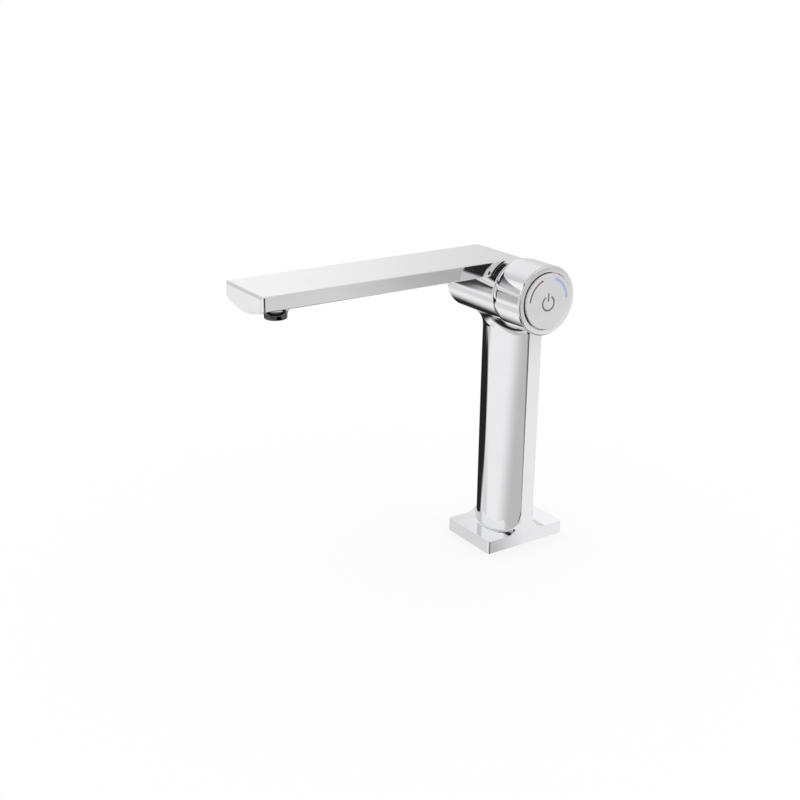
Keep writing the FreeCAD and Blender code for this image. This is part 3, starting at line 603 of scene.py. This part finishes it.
class TAP_OT_spring(bpy.types.Operator):
    """Winds the return spring behind the button, and hangs it on the button's body"""

    bl_idname = "tap.spring"
    bl_label = "Return spring"

    def execute(self, context):
        size = context.scene.tap_spring
        length_now = spring_high.x - spring_low.x
        middle = (spring_low + spring_high) / 2
        coil_radius = (spring_high.z - spring_low.z) / 2 - size.wire
        steps = size.coils * size.facets
        start = Matrix.Translation((spring_low.x + size.wire, middle.y, middle.z + coil_radius))
        upright = Matrix.Rotation(math.pi / 2, 4, "X")
        mesh = bmesh.new()
        bmesh.ops.create_circle(
            mesh, cap_ends=True, segments=SPRING_WIRE_FACETS, radius=size.wire,
            matrix=start @ upright,
        )
        bmesh.ops.spin(
            mesh, geom=mesh.faces[:], cent=middle, axis=(1, 0, 0), angle=math.tau * size.coils,
            steps=steps, dvec=((length_now - 2 * size.wire) / steps, 0, 0), use_duplicate=False,
        )
        clean_spin(mesh)
        tint = context.scene.tap_finish.steel_tint
        steel = turned_metal("spring_steel", tint, EVEN_LINES, STEEL_ROUGHNESS)
        spring = new_piece("wound_return_spring", mesh, steel)
        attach(spring, "button")
        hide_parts("return_spring")
        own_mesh(spring)
        return {"FINISHED"}


class TAP_OT_button(bpy.types.Operator):
    """Gives the push button its satin face with the sign and the hot and cold arcs"""

    bl_idname = "tap.button"
    bl_label = "Marked button"

    def execute(self, context):
        scene = context.scene
        dress(("push_button",), satin_chrome(scene.tap_finish, scene.tap_marks))
        return {"FINISHED"}


class TAP_OT_works(bpy.types.Operator):
    """Gives the inner works, seals, screws and supply tubes their own finishes"""

    bl_idname = "tap.works"
    bl_label = "Inner works"

    def execute(self, context):
        look = context.scene.tap_finish
        for nodes, name, tint, lines, roughness in (
            (STEEL_NODES, "drawn_steel", look.steel_tint, (900.0, 900.0, 60.0), STEEL_ROUGHNESS),
            (BRASS_NODES, "turned_brass", look.brass_tint, (2600.0, 40.0, 40.0), 0.22),
            (COPPER_NODES, "drawn_copper", look.copper_tint, (1800.0, 1800.0, 12.0), 0.26),
        ):
            dress(nodes, turned_metal(name, tint, lines, roughness))
        for nodes, name, tint, roughness, grain, relief in (
            (RUBBER_NODES, "matt_rubber", look.rubber_tint, 0.72, 2600.0, 0.00002),
            (WHITE_NODES, "white_moulding", look.white_tint, 0.42, 3000.0, 0.00001),
            (BLACK_NODES, "black_moulding", look.black_tint, 0.46, 3000.0, 0.00001),
        ):
            dress(nodes, moulded(name, tint, roughness, grain, relief))
        return {"FINISHED"}


# The studio's light. All angles are in degrees, and an azimuth counts from the knob's side (+X)
# towards the back (+Y), so the spout's side is at -90 and the camera at -34.

HORIZON = (-16.0, -7.0)  # between these elevations the ground's level turns into the sky's
DARK_BELOW, DARK_FLOOR = (-50.0, -40.0), 0.03  # the steep view down, and the share left there
PALE_BELOW, PALE_FLOOR = (-68.0, -60.0), 0.6   # straight below, and the level added there
SHADE = None  # stands for the level of the dark boards, which a user may change

# A card's level of light, the direction of its middle, half its width and height, how many times
# its size its soft edge reaches, how far it leans (azimuth per elevation), and how square it is,
# where 2 is an oval.
Card = namedtuple(
    "Card", "level azimuth elevation half_width half_height reach lean squareness",
    defaults=(1.6, 0.0, 2.0),
)

# Each card lies over the ones before it.
CARDS = (
    # Pale walls and lamps
    Card(0.73, 138, 16, 26, 22, 2.9, -0.3),       # wide, behind, on the side away from the knob
    Card(0.98, 158, 15, 4, 8, 5.0),               # its bright part
    Card(0.88, 168, 37, 20, 6, 2.0),              # above it
    Card(0.90, 33, -2, 31, 46, 1.7, -0.5),        # tall, on the knob's side towards the back
    Card(0.54, -38, -26, 13, 27, 4.8, 3.0),       # grey, low on the camera's side
    Card(0.98, -108, 25, 38, 10, 1.35),           # a long lamp in front of the spout
    Card(1.00, 137.5, 25, 3, 2.5, 2.2),           # a small lamp behind
    Card(0.46, 36.8, -12.5, 1.2, 1.2, 6.0),       # a soft grey spot on the tall one
    Card(0.74, -142, -28, 9, 4.5, 1.8),           # low, past the far side of the spout
    Card(0.50, 36, -27, 2.5, 3, 1.8),             # grey, low on the tall one
    # Dark boards
    Card(SHADE, 176, -21, 24, 5.4, 1.45, 0.4),    # long and low, away from the knob
    Card(SHADE, -157, -20, 7, 2.6, 1.8),          # its end towards the spout
    Card(SHADE, 162, -34.5, 12, 5, 3.2),          # under it, towards the back
    Card(SHADE, 3, -24, 19, 12, 1.25, 0.0, 4.0),  # square, below the knob
    Card(SHADE, -22.7, 28, 8, 12, 1.28, 0.8),     # above the knob, towards the camera
    Card(SHADE, -6, 38, 15, 6, 1.8),              # its upper part
    Card(SHADE, -84, 42, 22, 4, 1.7),             # high in front
    # Level with the tap, past the far side of the spout
    Card(0.50, -140, -5, 2.6, 4.2, 3.3),               # the grey band that the sleeve mirrors
    Card(0.05, -143.5, -4, 2.8, 10.5, 1.4, 0.2, 4.0),  # the dark wedge that the head mirrors
)

WHITE = (1, 1, 1, 1)
FLOOR_CELLS = 8
SENSOR_WIDTH = 36.0                # millimetres
CLIP_START, CLIP_END = 0.01, 50.0  # metres


class TAP_OT_studio(bpy.types.Operator):
    """Sets up the pale floor, the studio's light and the camera"""

    bl_idname = "tap.studio"
    bl_label = "Studio"

    def light(self, scene, studio):
        """A world that glossy surfaces see as cards, and everything else as even light."""
        world = bpy.data.worlds.new("tap_studio")
        world.use_nodes = True
        scene.world = world
        board = Board(world.node_tree)
        x, y, z = board.split(board.add("ShaderNodeTexCoord", output="Generated"))
        degrees = 180 / math.pi
        high = board.add("ShaderNodeMath", {"operation": "ARCSINE"}, {0: z}) * degrees

        glow = board.smooth(high, *HORIZON, studio.ground, studio.sky)
        for card in CARDS:
            a = math.radians(card.azimuth)
            forward = x * math.cos(a) + y * math.sin(a)
            sideways = y * math.cos(a) - x * math.sin(a)
            turn = board.bearing(sideways, forward) * degrees
            rise = high - card.elevation
            wide = abs(turn - rise * card.lean) / card.half_width
            tall = abs(rise) / card.half_height
            power = card.squareness
            far = (wide ** power + tall ** power) ** (1 / power)
            mask = board.smooth(far, 1.0, card.reach, 1.0, 0.0)
            shown = studio.shade if card.level is SHADE else card.level
            glow = glow + (shown - glow) * mask
        glow = glow * board.smooth(high, *DARK_BELOW, DARK_FLOOR, 1.0)
        glow = glow + board.smooth(high, *PALE_BELOW, PALE_FLOOR, 0.0)

        strength = studio.plain + (glow - studio.plain) * board.ray("Is Glossy Ray")
        strength = strength + (1.0 - strength) * board.ray("Is Camera Ray", "Is Transmission Ray")
        shine = board.add("ShaderNodeBackground", None, {"Color": WHITE, "Strength": strength})
        board.add("ShaderNodeOutputWorld", None, {"Surface": shine})

    def floor(self, scene, studio):
        """A white floor, which shows the camera only a part of its real shade."""
        mesh = bmesh.new()
        bmesh.ops.create_grid(
            mesh, x_segments=FLOOR_CELLS, y_segments=FLOOR_CELLS, size=studio.floor_size / 2)
        data = bpy.data.meshes.new("floor")
        mesh.to_mesh(data)
        mesh.free()
        floor = bpy.data.objects.new("floor", data)
        scene.collection.objects.link(floor)
        floor.visible_glossy = False
        material, board = new_material("pale_floor")
        matt = board.add("ShaderNodeBsdfDiffuse", None, {"Color": (1 / studio.plain,) * 3 + (1.0,)})
        white = board.add("ShaderNodeEmission", None, {"Color": WHITE, "Strength": 1.0})
        seen = board.ray("Is Camera Ray", "Is Glossy Ray", "Is Transmission Ray")
        shown = board.add(
            "ShaderNodeMixShader", None, {0: seen * (1 - studio.floor_show), 1: matt, 2: white},
        )
        board.add("ShaderNodeOutputMaterial", None, {"Surface": shown})
        data.materials.append(material)

    def camera(self, scene, studio):
        """The camera, at the photograph's viewing angle."""
        data = bpy.data.cameras.new("camera")
        data.sensor_width = SENSOR_WIDTH
        data.lens = studio.camera_lens
        data.clip_start, data.clip_end = CLIP_START, CLIP_END
        camera = bpy.data.objects.new("camera", data)
        scene.collection.objects.link(camera)
        a, e = studio.camera_azimuth, studio.camera_elevation
        back = Vector((math.sin(a) * math.cos(e), -math.cos(a) * math.cos(e), math.sin(e)))
        aim = (-back).to_track_quat("-Z", "Y")
        camera.rotation_mode = "QUATERNION"
        camera.rotation_quaternion = aim @ Quaternion((0, 0, 1), studio.camera_roll)
        camera.location = Vector(studio.camera_target) + back * studio.camera_distance
        scene.camera = camera

    def execute(self, context):
        scene = context.scene
        studio = scene.tap_studio
        self.light(scene, studio)
        self.floor(scene, studio)
        self.camera(scene, studio)
        scene.view_settings.view_transform = "Standard"
        return {"FINISHED"}


class TAP_PT_panel(bpy.types.Panel):
    """Lists the tap's steps and what can be changed"""

    bl_idname = "TAP_PT_panel"
    bl_label = "Basin mixer tap"
    bl_space_type = "VIEW_3D"
    bl_region_type = "UI"
    bl_category = "Mixer tap"

    def draw(self, context):
        layout = self.layout
        layout.use_property_split = True
        for title, group, operators in PANEL_ROWS:
            box = layout.box()
            box.label(text=title)
            settings = getattr(context.scene, group)
            for name in settings.__annotations__:
                box.prop(settings, name)
            for operator in operators:
                box.operator(operator.bl_idname)


GROUPS = (
    ("tap_finish", TapFinish),
    ("tap_sleeve", TapSleeve),
    ("tap_spring", TapSpring),
    ("tap_marks", TapMarks),
    ("tap_studio", TapStudio),
)
OPERATORS = (
    TAP_OT_chrome, TAP_OT_sleeve, TAP_OT_spring, TAP_OT_button, TAP_OT_works, TAP_OT_studio,
)
PANEL_ROWS = (
    ("Finishes", "tap_finish", (TAP_OT_chrome, TAP_OT_works)),
    ("Knob sleeve", "tap_sleeve", (TAP_OT_sleeve,)),
    ("Return spring", "tap_spring", (TAP_OT_spring,)),
    ("Button marks", "tap_marks", (TAP_OT_button,)),
    ("Studio", "tap_studio", (TAP_OT_studio,)),
)


def register():
    for name, group in GROUPS:
        bpy.utils.register_class(group)
        setattr(bpy.types.Scene, name, PointerProperty(type=group))
    for operator in OPERATORS:
        bpy.utils.register_class(operator)
    bpy.utils.register_class(TAP_PT_panel)


def unregister():
    bpy.utils.unregister_class(TAP_PT_panel)
    for operator in reversed(OPERATORS):
        bpy.utils.unregister_class(operator)
    for name, group in reversed(GROUPS):
        delattr(bpy.types.Scene, name)
        bpy.utils.unregister_class(group)


def main():
    register()
    bpy.ops.tap.chrome()
    bpy.ops.tap.sleeve()
    bpy.ops.tap.spring()
    bpy.ops.tap.button()
    bpy.ops.tap.works()
    bpy.ops.tap.studio()


if __name__ == "__main__":
    main()
